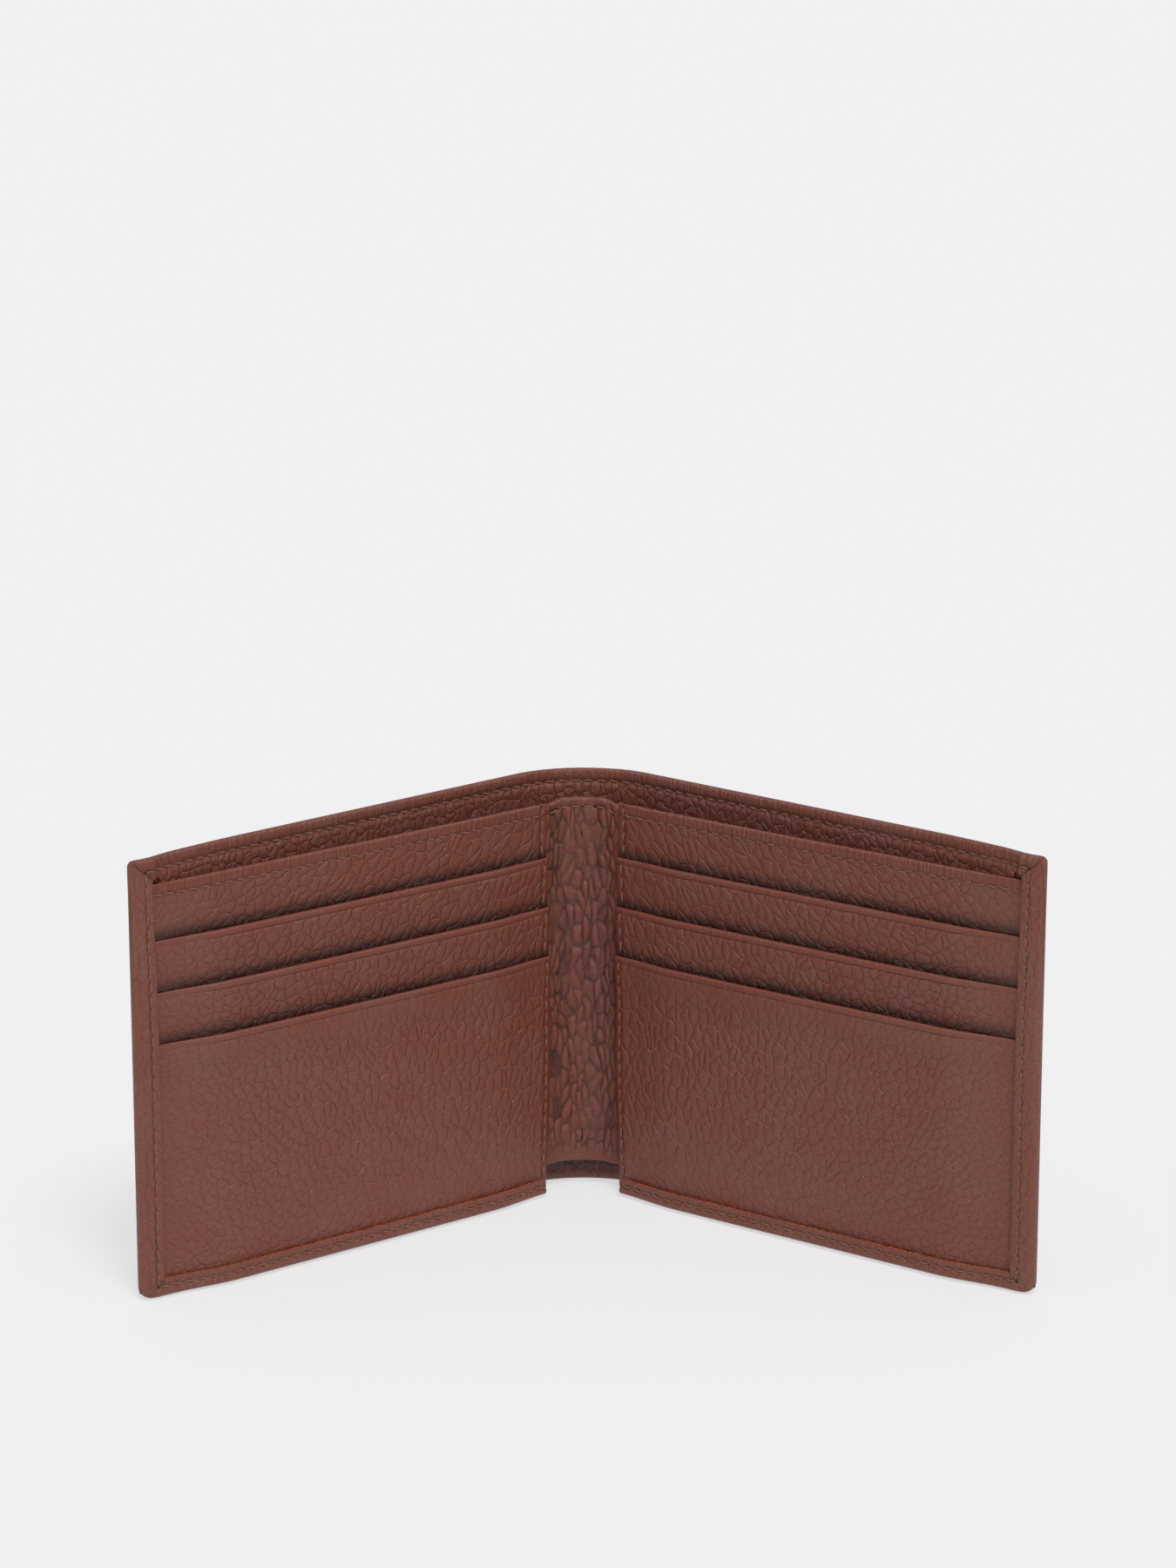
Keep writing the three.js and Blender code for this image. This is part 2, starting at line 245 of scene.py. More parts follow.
def cell_edges(x, y, seed):
    """Distance to the nearest cell edge of a jittered grid, in cells."""
    table = lattice(seed)
    xi, yi = np.floor(x).astype(int), np.floor(y).astype(int)
    near = np.full(x.shape, 9.0)
    second = np.full(x.shape, 9.0)
    for i in range(-2, 3):
        for j in range(-2, 3):
            jitter = table[(xi + i) % 64, (yi + j) % 64]
            d = np.hypot(xi + i + jitter[..., 0] - x, yi + j + jitter[..., 1] - y)
            second = np.minimum(second, np.maximum(near, d))
            near = np.minimum(near, d)
    return second - near


# Surfaces

def bill_gap(u, z):
    """How far the cover stands off the back of the pockets."""
    taper = 1 - GAP_TAPER * np.clip(u, 0, None) / OUTER
    from_seam = np.clip((OUTER - EDGE_INSET - SIDE_HEM + 1 - u) / GAP_OUTER_RAMP, 0, 1)
    outer = from_seam * (2 - from_seam)
    near_spine = 1 - smooth((u - GAP_SPINE_START) / GAP_SPINE_RAMP)
    belly = np.sin(math.pi / 2 * np.clip((z - BOTTOM_HEM) / BELLY_HEIGHT, 0, 1))
    return BILL_GAP * taper * outer * (belly + (1 - belly) * near_spine)


def bend(leaf, s, v, z):
    """A point of the cover's side of the wallet: s along the leather, v as on the leaf, z up."""
    s, v, z = np.broadcast_arrays(*(np.asarray(a, float) for a in (s, v, z)))
    flat = leaf.place(s - LEAF_START, v, z)
    radius, angle = SPINE_RADIUS + COVER_V - v, s / SPINE_RADIUS
    y = HINGE_Y + ARC_CENTRE + radius * np.cos(angle)
    arc = np.stack([leaf.side * radius * np.sin(angle), y, z], axis=-1)
    return np.where((s < ARC_END)[..., None], arc, flat)


def spine_relief(x, z):
    """Upright wrinkles where the cover bends, fading out along the leaves."""
    fade = 1 - smooth((np.abs(x) - 9) / 12)
    wander = 0.3 * value_noise(x / 5 + 20, z / 9, 5)
    rise = smooth(cell_edges(x / 2.4 + wander + 20, z / 13 + 9, 11) / 0.35)
    return SPINE_WRINKLE * fade * (rise - 1)


def back_v(leaf, s, z):
    """Middle of the cover's main sheet."""
    return hem_face(s, z) - HEM_T - COVER_T / 2 - spine_relief(leaf.side * s, z)


def inner_hem_v(leaf, s, z):
    """Middle of a hem turned to the cover's inside."""
    return hem_face(s, z) - HEM_T / 2 + 0.5 * spine_relief(leaf.side * s, z)


def hem_face(s, z):
    """Front of the hems that are turned to the cover's inside. The outer edge is sewn flat."""
    u = s - LEAF_START
    return HEM_FACE - bill_gap(u, z) + 0.5 * smooth((u - (OUTER - 13)) / 6)


def pressed(u):
    """The share of the stack's depth that its seams leave at the inner and the outer edge."""
    inner = 1 - INNER_PRESS * (1 - smooth((u - STACK_INNER - 1.0) / INNER_PRESS_RAMP))
    outer = 1 - OUTER_PRESS * smooth((u - (OUTER - OUTER_PRESS_START)) / OUTER_PRESS_RAMP)
    return inner * outer


def skived(u):
    """The share of a layer's own thickness at the inner and the outer edge."""
    inner = lerp(INNER_SKIVE, 1.0, smooth((u - STACK_INNER) / 10))
    return inner * lerp(1.0, OUTER_SKIVE, smooth((u - (OUTER - OUTER_PRESS_START)) / OUTER_PRESS_RAMP))


def front_hem_v(s, z):
    """Middle of the hem turned to the front: it lies on the pockets and falls back above them."""
    share = np.clip((z - LAYER_TOPS[3]) / (LAYER_TOPS[1] + 11 - LAYER_TOPS[3]), 0, 1)
    on_stack = lerp(STACK_FRONT, LAYER_FRONTS[0], share) * pressed(s - LEAF_START)
    fall = 0.5 * smooth((z - PANEL_TOP + 1) / (HEIGHT - PANEL_TOP)) + 0.6 * smooth((s - S_EDGE + 4) / 3)
    return on_stack + 0.35 + HEM_T / 2 - fall


def hem_dent(s, z):
    """Seams pull a shallow groove into the hems, and the leather swells beside it."""
    to_side, to_top = S_EDGE - s, HEIGHT - z
    along_side = smooth((z - BOTTOM_SEAM) + 0.5) * smooth(to_top - TOP_SEAM + 0.5)
    along_ends = smooth(to_side - SIDE_SEAM + 0.5)
    side = 0.2 * ridge(to_side - SIDE_SEAM, 0.5) * along_side
    top = 0.3 * ridge(to_top - TOP_SEAM, 0.55) * along_ends
    bottom = 0.2 * ridge(z - BOTTOM_SEAM, 0.5) * along_ends
    swell = 0.15 * ridge(to_top - 1.5, 0.8) + 0.1 * ridge(z - 1.4, 0.7) * along_ends
    return np.maximum(np.maximum(side, top), bottom) - swell


def hem_v(leaf, part, s, z):
    if part == "side" or part == "bottom":
        v = front_hem_v(s, z)
    elif part == "inside":
        v = inner_hem_v(leaf, s, z)
    else:
        v = lerp(inner_hem_v(leaf, s, z), front_hem_v(s, z), smooth((s - S_HEM + 2.2) / 1.8))
    return v - hem_dent(s, z)


def stations(start, end, step, fine_end=0.0, fine_step=0.3):
    """Even steps from start to end, closer together over the last fine_end."""
    middle = np.linspace(start, end - fine_end, max(2, round((end - fine_end - start) / step) + 1))
    if fine_end <= 0:
        return middle
    tail = np.linspace(end - fine_end, end, round(fine_end / fine_step) + 1)[1:]
    return np.concatenate([middle, tail])


# Meshes

# The left leaf is cut from another part of the hide, this far along it
OTHER_HIDE = 300


def same_grain(u, z):
    return u, z


def sweeping_grain(u, z):
    """Grain that runs in wide arcs, steep by the spine and flatter towards the outer edge."""
    centre_u, centre_z, reach = 160, 170, 150
    du, dz = centre_u - u, centre_z - z
    return np.hypot(du, dz), np.arctan2(dz, du) * reach


def patch(leaf, points, u, z, grain=same_grain, **masks):
    """Part of a sheet's middle surface: points, the leather's own coordinates and its masks."""
    shift = OTHER_HIDE * (leaf.side < 0)
    leather = np.stack([u + shift, z], axis=-1)
    grained = np.stack(grain(u, z), axis=-1) + np.array([shift, 0.0])
    values = {key: np.broadcast_to(masks.get(key, rest), u.shape) for key, rest in MASKS.items()}
    return points, leather, grained, values


def grid_faces(shape, base):
    index = base + np.arange(shape[0] * shape[1]).reshape(shape)
    quads = np.stack([index[:-1, :-1], index[1:, :-1], index[1:, 1:], index[:-1, 1:]], axis=-1)
    return quads.reshape(-1, 4)


def mesh_from_patches(name, patches):
    """One welded mesh from grids of points, with both UV maps and the masks."""
    faces, base = [], 0
    for points, _, _, _ in patches:
        faces.append(grid_faces(points.shape[:2], base))
        base += points.shape[0] * points.shape[1]
    faces = np.concatenate(faces)
    verts = np.concatenate([p[0].reshape(-1, 3) for p in patches]) * MM
    mesh = bpy.data.meshes.new(name)
    mesh.vertices.add(len(verts))
    mesh.vertices.foreach_set("co", verts.ravel())
    mesh.loops.add(faces.size)
    mesh.loops.foreach_set("vertex_index", faces.ravel())
    mesh.polygons.add(len(faces))
    mesh.polygons.foreach_set("loop_start", np.arange(0, faces.size, 4))
    mesh.update(calc_edges=True)
    for layer_name, k in (("leather", 1), ("grain", 2)):
        uvs = np.concatenate([p[k].reshape(-1, 2) for p in patches])
        layer = mesh.uv_layers.new(name=layer_name)
        layer.data.foreach_set("uv", uvs[faces.ravel()].astype(np.float32).ravel())
    for key in MASKS:
        values = np.concatenate([p[3][key].reshape(-1) for p in patches])
        mesh.attributes.new(key, "FLOAT", "POINT").data.foreach_set("value", values.astype(np.float32))
    bm = bmesh.new()
    bm.from_mesh(mesh)
    bmesh.ops.remove_doubles(bm, verts=bm.verts, dist=2e-6)
    bmesh.ops.dissolve_degenerate(bm, dist=1e-7, edges=bm.edges)
    bmesh.ops.recalc_face_normals(bm, faces=bm.faces)
    bm.to_mesh(mesh)
    bm.free()
    return mesh


def add_object(name, mesh):
    obj = bpy.data.objects.new(name, mesh)
    bpy.context.scene.collection.objects.link(obj)
    return obj


def build_sheet(name, patches, thickness, materials, bevel=0.1):
    """A sheet of leather or cloth: its middle surface given thickness, with a softened rim.

    The first material is the face, and the last one is the cut rim."""
    obj = add_object(name, mesh_from_patches(name, patches))
    for material in materials:
        obj.data.materials.append(material)
    group = obj.vertex_groups.new(name="thickness")
    weights = np.empty(len(obj.data.vertices))
    obj.data.attributes["thickness"].data.foreach_get("value", weights)
    levels = weights.round(2)
    for level in np.unique(levels):
        group.add(np.nonzero(levels == level)[0].tolist(), float(level), "REPLACE")
    solid = obj.modifiers.new("thickness", "SOLIDIFY")
    solid.thickness = thickness * MM
    solid.offset = 0
    solid.vertex_group = "thickness"
    solid.material_offset_rim = len(materials) - 1
    edge = obj.modifiers.new("edge", "BEVEL")
    edge.width = bevel * MM
    edge.segments = 2
    edge.limit_method = "ANGLE"
    edge.angle_limit = math.radians(55)
    bpy.context.view_layer.objects.active = obj
    for modifier in list(obj.modifiers):
        bpy.ops.object.modifier_apply(modifier=modifier.name)
    obj.vertex_groups.clear()
    obj.data.polygons.foreach_set("use_smooth", np.ones(len(obj.data.polygons), bool))
    obj.data.set_sharp_from_angle(angle=math.radians(50))
    return obj


def split_in_two(obj):
    """Cuts a mesh at x = 0 into a left and a right piece, capped there, keeping its normals."""
    mesh = obj.data
    normals = np.empty(len(mesh.loops) * 3, np.float32)
    mesh.corner_normals.foreach_get("vector", normals)
    normals = normals.reshape(-1, 3)
    loop_face = np.repeat(np.arange(len(mesh.polygons)), [p.loop_total for p in mesh.polygons])
    centres = np.array([p.center.x for p in mesh.polygons])
    pieces = []
    for leaf in LEAVES:
        keep = centres * leaf.side > 0
        half = mesh.copy()
        bm = bmesh.new()
        bm.from_mesh(half)
        bm.faces.ensure_lookup_table()
        bmesh.ops.delete(bm, geom=[bm.faces[int(i)] for i in np.nonzero(~keep)[0]], context="FACES")
        border = [e for e in bm.edges if e.is_boundary]
        bmesh.ops.holes_fill(bm, edges=border, sides=0)
        bm.to_mesh(half)
        bm.free()
        kept = normals[keep[loop_face]]
        added = len(half.loops) - len(kept)
        capped = np.tile([-leaf.side, 0.0, 0.0], (added, 1))
        half.normals_split_custom_set(np.concatenate([kept, capped]).tolist())
        pieces.append(add_object(f"{obj.name}_{leaf.name}", half))
    bpy.data.objects.remove(obj)
    return pieces


def bend_with(leaf, obj, s_start=1.0, u_end=8.0):
    """Bakes the piece's transform into its mesh. The points where it would leave the spine and meet the leaf
    are worked out, but nothing uses them.
    """
    middle = HEIGHT / 2
    depth = back_v(leaf, np.array(0.0), np.array(middle))
    start = bend(leaf, s_start, depth, middle) * MM
    end = bend(leaf, LEAF_START + u_end, depth, middle) * MM
    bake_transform(obj)


# Materials

def new_material(name):
    material = bpy.data.materials.new(name)
    material.use_nodes = True
    nodes = material.node_tree.nodes
    links = material.node_tree.links
    return material, nodes, links, nodes["Principled BSDF"]


def srgb(r, g, b):
    return tuple(((c / 255 + 0.055) / 1.055) ** 2.4 for c in (r, g, b)) + (1.0,)


class Graph:
    """Short calls for building a node tree."""

    def __init__(self, nodes, links):
        self.nodes = nodes
        self.links = links

    def add(self, kind, inputs=None, **settings):
        node = self.nodes.new(kind)
        for key, value in settings.items():
            setattr(node, key, value)
        for key, value in (inputs or {}).items():
            self.set(node, key, value)
        return node

    def set(self, node, key, value):
        socket = node.inputs[key]
        if isinstance(value, bpy.types.NodeSocket):
            self.links.new(value, socket)
        else:
            socket.default_value = value

    def math(self, operation, a, b=0.0, c=0.0):
        node = self.add("ShaderNodeMath", {0: a, 1: b, 2: c}, operation=operation)
        return node.outputs[0]

    def ramp(self, value, low, high, out_low=0.0, out_high=1.0):
        node = self.add("ShaderNodeMapRange", {
            "Value": value, "From Min": low, "From Max": high, "To Min": out_low, "To Max": out_high,
        }, interpolation_type="SMOOTHSTEP")
        return node.outputs["Result"]

    def mix(self, factor, a, b, blend="MIX"):
        node = self.add("ShaderNodeMix", data_type="RGBA", blend_type=blend)
        self.set(node, 0, factor)
        self.set(node, 6, a)
        self.set(node, 7, b)
        return node.outputs[2]

    def mask(self, name):
        return self.add("ShaderNodeAttribute", attribute_name=name).outputs["Fac"]

    def uv(self, name):
        return self.add("ShaderNodeUVMap", uv_map=name).outputs["UV"]

    def vector(self, operation, a, b):
        second = "Scale" if operation == "SCALE" else 1
        return self.add("ShaderNodeVectorMath", {0: a, second: b}, operation=operation).outputs[0]

    def noise(self, at, scale, detail=2.0, rough=0.5, output="Fac"):
        inputs = {"Vector": at, "Scale": scale, "Detail": detail, "Roughness": rough}
        return self.add("ShaderNodeTexNoise", inputs, noise_dimensions="2D").outputs[output]

    def cell_edge(self, at, scale=1.0, randomness=0.9):
        inputs = {"Vector": at, "Scale": scale, "Randomness": randomness}
        return self.add("ShaderNodeTexVoronoi", inputs, feature="DISTANCE_TO_EDGE",
                        voronoi_dimensions="2D").outputs["Distance"]


def grain_coordinates(g, cell):
    """The grain's own coordinates, in cells, drifting and wobbling as the skin does."""
    run = g.uv("grain")
    drift = g.vector("SUBTRACT", g.noise(run, 0.16, output="Color"), (0.5, 0.5, 0.5))
    far = g.vector("SCALE", drift, 2.2)
    near = g.vector("SCALE", g.noise(run, 0.55, detail=1.0, output="Color"), 0.7)
    warped = g.vector("ADD", run, g.vector("ADD", far, near))
    return g.vector("DIVIDE", warped, (cell[0], cell[1], 1.0))


def leather_material(name, base, cell, depth, rough):
    """Tumbled, pebbled leather. Cell size and depth are in mm; the sheet's UVs are in mm too."""
    material, nodes, links, shader = new_material(name)
    g = Graph(nodes, links)
    uv = g.uv("leather")
    grain_at = grain_coordinates(g, cell)
    edge = g.cell_edge(grain_at)
    pores = g.noise(uv, 5.0, 4.0, 0.6)
    fading = g.noise(g.uv("grain"), 0.35)
    grainy = g.math("SUBTRACT", 1.0, g.mask("smoothness"))
    pillow = g.ramp(edge, -0.2, 0.4)

    crease = g.math("MULTIPLY", g.ramp(edge, 0.0, 0.06), g.ramp(fading, 0.36, 0.6, 0.45, 1.0))
    fine_edge = g.cell_edge(grain_at, scale=2.1, randomness=1.0)
    fine_crease = g.math("MULTIPLY", g.ramp(fine_edge, 0.0, 0.09), g.ramp(fading, 0.45, 0.62, 0.5, 0.0))
    height = g.math("MULTIPLY_ADD", crease, 0.45, g.math("MULTIPLY", pillow, 0.6))
    height = g.math("MULTIPLY_ADD", fine_crease, 0.3, height)
    height = g.math("MULTIPLY", height, g.math("MULTIPLY", grainy, depth))
    height = g.math("MULTIPLY_ADD", pores, 0.1, height)
    pleats = g.noise(g.vector("MULTIPLY", uv, (1.0, 0.16, 1.0)), 1.3, 3.0, 0.6)
    height = g.math("MULTIPLY_ADD", g.math("MULTIPLY", pleats, g.mask("pleats")), 0.55, height)
    bump = g.add("ShaderNodeBump", {"Height": height, "Strength": 1.0, "Distance": MM})

    tint = g.mix(g.ramp(g.noise(uv, 0.07, 3.0), 0.35, 0.65, 0.0, 0.3), base, LEATHER_RED)
    tint = g.mix(g.math("MULTIPLY", g.mask("burnish"), 0.6), tint, LEATHER_RED)
    flank = g.math("MULTIPLY", g.math("SUBTRACT", 1.0, pillow), g.math("MULTIPLY", grainy, 0.5))
    tint = g.mix(flank, tint, LEATHER_RED)
    # Painted highlight: a pale hairline along the lower, upward-facing side of each crease, where light from
    # above would glint
    beside = g.cell_edge(g.vector("ADD", grain_at, (-0.035, -0.03, 0.0)))
    painted_highlight = g.math("MULTIPLY", g.ramp(beside, 0.0, 0.035, 1.0, 0.0), grainy)
    painted_highlight = g.math("MULTIPLY", painted_highlight, g.ramp(pores, 0.44, 0.6, 0.0, 0.7))
    painted_highlight = g.math("MULTIPLY", painted_highlight, g.ramp(fading, 0.4, 0.6, 0.25, 1.0))
    tint = g.mix(painted_highlight, tint, PAINTED_HIGHLIGHT_TAN)
    # Painted shade, darkening towards near-black brown where the mask is high: on the inside hem at the
    # spine's foot and above each pocket's mouth; in the strip's grooves it is painted shade and dirt
    tint = g.mix(g.math("MULTIPLY", g.mask("cavity"), 0.85), tint, PAINTED_SHADE_AND_DIRT_BROWN)

    links.new(tint, shader.inputs["Base Color"])
    links.new(bump.outputs["Normal"], shader.inputs["Normal"])
    links.new(g.ramp(pores, 0.3, 0.7, rough - 0.06, rough + 0.08), shader.inputs["Roughness"])
    shader.inputs["Specular IOR Level"].default_value = 0.45
    return material


def fibre_material(name, color, dark):
    """Cut leather edge: short fibres with darker gaps."""
    material, nodes, links, shader = new_material(name)
    g = Graph(nodes, links)
    at = g.add("ShaderNodeTexCoord").outputs["Object"]
    inputs = {"Vector": at, "Scale": 1.6 / MM, "Detail": 4.0, "Roughness": 0.7}
    fibres = g.add("ShaderNodeTexNoise", inputs)
    tint = g.mix(g.ramp(fibres.outputs["Fac"], 0.35, 0.65), dark, color)
    bump = g.add("ShaderNodeBump", {"Height": fibres.outputs["Fac"], "Strength": 0.8, "Distance": 0.1 * MM})
    links.new(tint, shader.inputs["Base Color"])
    links.new(bump.outputs["Normal"], shader.inputs["Normal"])
    shader.inputs["Roughness"].default_value = 0.85
    shader.inputs["Specular IOR Level"].default_value = 0.25
    return material


def thread_material():
    """Twisted thread: slanted strands along each stitch, from the stitch's own UVs."""
    material, nodes, links, shader = new_material("thread")
    g = Graph(nodes, links)
    uv = g.uv("leather")
    twist = g.add("ShaderNodeTexWave", {"Vector": uv, "Scale": 1.0, "Distortion": 0.6, "Detail": 1.0},
                  wave_type="BANDS", bands_direction="DIAGONAL")
    tint = g.mix(twist.outputs["Fac"], srgb(70, 36, 24), srgb(132, 80, 56))
    # Pale tan spots: painted highlights on the thread
    tint = g.mix(g.ramp(g.noise(uv, 3.0, 3.0), 0.55, 0.7, 0.0, 0.7), tint, srgb(200, 150, 118))
    bump = g.add("ShaderNodeBump", {"Height": twist.outputs["Fac"], "Strength": 0.9, "Distance": 0.06 * MM})
    links.new(tint, shader.inputs["Base Color"])
    links.new(bump.outputs["Normal"], shader.inputs["Normal"])
    shader.inputs["Roughness"].default_value = 0.7
    shader.inputs["Sheen Weight"].default_value = 0.3
    return material


def cloth_material():
    """Fine dark twill for the linings, in object space on the CAD sheets."""
    material, nodes, links, shader = new_material("lining_cloth")
    g = Graph(nodes, links)
    at = g.add("ShaderNodeTexCoord").outputs["Object"]
    split = g.add("ShaderNodeSeparateXYZ", {0: at})
    along = g.math("ADD", split.outputs["X"], g.math("MULTIPLY", split.outputs["Y"], 0.6))
    warp = g.math("SINE", g.math("MULTIPLY", g.math("ADD", along, split.outputs["Z"]), 9000.0))
    weft = g.math("SINE", g.math("MULTIPLY", split.outputs["Z"], 14000.0))
    weave = g.ramp(g.math("ADD", warp, g.math("MULTIPLY", weft, 0.5)), -1.5, 1.5)
    tint = g.mix(weave, srgb(42, 28, 24), srgb(74, 50, 43))
    bump = g.add("ShaderNodeBump", {"Height": weave, "Strength": 0.7, "Distance": 0.08 * MM})
    links.new(tint, shader.inputs["Base Color"])
    links.new(bump.outputs["Normal"], shader.inputs["Normal"])
    shader.inputs["Roughness"].default_value = 0.85
    shader.inputs["Sheen Weight"].default_value = 0.25
    return material


LEATHER_BROWN = srgb(118, 70, 58)
# The strip's brown is a little darker than the other leather: painted shade for its recessed place between
# the leaves
STRIP_BROWN = srgb(112, 67, 56)
LEATHER_RED = srgb(118, 50, 36)
# Near-black brown for painted shade, and for dirt in the strip's grooves
PAINTED_SHADE_AND_DIRT_BROWN = srgb(44, 20, 15)
# Pale tan of the painted highlights along the grain's creases
PAINTED_HIGHLIGHT_TAN = srgb(182, 132, 116)
COVER_LEATHER = leather_material("cover_leather", LEATHER_BROWN, (1.9, 2.7), 0.4, 0.36)
POCKET_LEATHER = leather_material("pocket_leather", LEATHER_BROWN, (2.2, 4.2), 0.36, 0.36)
STRIP_LEATHER = leather_material("strip_leather", STRIP_BROWN, (1.3, 1.9), 0.08, 0.4)
CUT_EDGE = fibre_material("cut_edge", srgb(186, 88, 48), srgb(96, 40, 24))
THREAD = thread_material()
# Dark needle holes: painted shade inside the holes
HOLE_SHADE = fibre_material("needle_hole_shade", srgb(52, 26, 18), srgb(22, 10, 8))
CLOTH = cloth_material()


# The cover: one leather, drawn round the whole spine and then parted in its middle

CORNERS = ((Z_FOLD_LOW + CORNER_LOW, -1, CORNER_LOW), (Z_FOLD_HIGH - CORNER_TOP, 1, CORNER_TOP))


def round_outline(s, z):
    """Moves the corners of the cover's grid at the outer edge onto round ones."""
    for edge, sign, radius in CORNERS:
        ds = np.clip((s - (S_FOLD - radius)) / radius, 0, 1)
        dz = np.clip(sign * (z - edge) / radius, 0, 1)
        inside = (ds > 0) & (dz > 0)
        s, z = (np.where(inside, S_FOLD - radius + radius * ds * np.sqrt(1 - dz * dz / 2), s),
                np.where(inside, edge + sign * radius * dz * np.sqrt(1 - ds * ds / 2), z))
    return s, z


def outward(s, z, part):
    """Outward direction, in the sheet's plane, at points of its outline."""
    if part == "side":
        ns, nz = np.ones_like(s), np.zeros_like(s)
    else:
        ns, nz = np.zeros_like(s), np.full_like(s, 1.0 if part == "top" else -1.0)
    for edge, sign, radius in CORNERS:
        ds, dz = s - (S_FOLD - radius), z - edge
        turned = (ds > 1e-6) & (sign * dz > 1e-6)
        length = np.maximum(np.hypot(ds, dz), 1e-9)
        ns = np.where(turned, ds / length, ns)
        nz = np.where(turned, dz / length, nz)
    return ns, nz


def pressed_smooth(s, z):
    """Leather is pressed smooth close to its turned edges."""
    top = smooth((z - (HEIGHT - 5)) / 4)
    bottom = smooth((6 - z) / 5)
    side = smooth((s - (S_EDGE - 9)) / 7)
    return 0.55 * np.maximum(np.maximum(top, bottom), side)


def hem_goal(part, s, z):
    """Where the hem that starts at an outline point ends."""
    if part == "side":
        return np.full_like(s, S_HEM), np.clip(z, BOTTOM_HEM, HEIGHT - TOP_HEM_AT_CORNER)
    goal_s = np.minimum(s, S_HEM)
    if part == "top":
        return goal_s, HEIGHT - lerp(TOP_HEM, TOP_HEM_AT_CORNER, smooth((s - S_HEM + 4) / 1.6))
    if part == "inside":
        return goal_s, lerp(BOTTOM_HEM_AT_SPINE, BOTTOM_HEM, smooth((s - LEAF_START) / BOTTOM_HEM_START))
    rounding = np.clip((s - LEAF_START - BOTTOM_HEM_START) / HEM_END_ROUND, 0, 1)
    return goal_s, BOTTOM_HEM - HEM_END_ROUND * (1 - np.sqrt(1 - (1 - rounding) ** 2))


def columns(rows, like):
    """Each item of the rows, spread over an outline's points, as one array (points, rows)."""
    spread = [[np.broadcast_to(item, like.shape) for item in column] for column in zip(*rows)]
    return [np.stack(column, axis=1) for column in spread]


def turned_edge(leaf, s, z, part):
    """The fold from the main sheet round the edge, and the hem up to its cut edge."""
    ns, nz = outward(s, z, part)
    goal_s, goal_z = hem_goal(part, s, z)
    start_v, end_v = back_v(leaf, s, z), hem_v(leaf, part, s, z)
    reach = EDGE_FOLD * ns ** 2 + np.where(nz > 0, TOP_FOLD, EDGE_FOLD) * nz ** 2
    far = np.hypot(goal_s - s, goal_z - z)
    rows = []
    for theta in np.linspace(-math.pi / 2, math.pi / 2, 15):
        out = reach * abs(math.cos(theta)) ** 0.8
        lift = (math.copysign(abs(math.sin(theta)) ** 0.8, theta) + 1) / 2
        run = (theta + math.pi / 2) * reach
        v = lerp(start_v, end_v, lift)
        rows.append((s + ns * out, v, z + nz * out, run, lerp(1.0, HEM_T, lift), 0 * s))
    for share in np.linspace(0, 1, 19)[1:]:
        on_s, on_z = lerp(s, goal_s, share), lerp(z, goal_z, share)
        run = math.pi * reach + share * far
        rows.append((on_s, hem_v(leaf, part, on_s, on_z), on_z, run, HEM_T, share * far))
    on_s, v, on_z, run, thick, down = columns(rows, s)
    leather_s, leather_z = s[:, None] + ns[:, None] * run, z[:, None] + nz[:, None] * run
    turned_in = part in ("top", "inside")
    masks = {
        "thickness": thick,
        "smoothness": 0.6 * (1 - smooth((down - 1.5) / 1.5)) if turned_in else 0.45,
        "pleats": (1 - smooth((down - 1.2) / 1.2)) * (1.0 if part == "top" else 0.25),
        "burnish": 0.4 * smooth((down - far.max() + 1.6) / 1.4),
        # Painted shade on the inside hem at the foot of the spine
        "cavity": 0.8 * smooth((down - 0.6) / 1.5) if part == "inside" else 0.0,
    }
    return patch(leaf, bend(leaf, on_s, v, on_z), leaf.side * leather_s, leather_z, **masks)


def cover_patches(leaf):
    split_s = LEAF_START + BOTTOM_HEM_START
    cols = np.concatenate([stations(0, split_s, 0.4), stations(split_s, 26, 0.4)[1:],
                           stations(26, S_HEM - 5, 0.9)[1:], stations(S_HEM - 5, S_FOLD, 0.3, 2.4, 0.15)[1:]])
    upper = stations(HEIGHT / 2, Z_FOLD_HIGH, 0.9, 2.4, 0.15)
    lower = Z_FOLD_LOW + HEIGHT / 2 - stations(Z_FOLD_LOW, HEIGHT / 2, 0.9, 2.4, 0.15)[::-1]
    rows = np.concatenate([lower, upper[1:]])
    s, z = round_outline(*np.meshgrid(cols, rows, indexing="ij"))
    patches = [patch(leaf, bend(leaf, s, back_v(leaf, s, z), z), leaf.side * s, z,
                     smoothness=pressed_smooth(s, z))]
    k = int(np.argmin(np.abs(cols - split_s)))
    outlines = {"side": (s[-1], z[-1]), "top": (s[:, -1], z[:, -1]),
                "bottom": (s[k:, 0], z[k:, 0]), "inside": (s[:k + 1, 0], z[:k + 1, 0])}
    patches += [turned_edge(leaf, *outline, part) for part, outline in outlines.items()]
    return patches


def make_cover():
    patches = [p for leaf in LEAVES for p in cover_patches(leaf)]
    cover = build_sheet("cover_leather", patches, COVER_T, [COVER_LEATHER, CUT_EDGE])
    for leaf, half in zip(LEAVES, split_in_two(cover)):
        bend_with(leaf, half)
        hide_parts(leaf.node("cover"), "cover_spine")


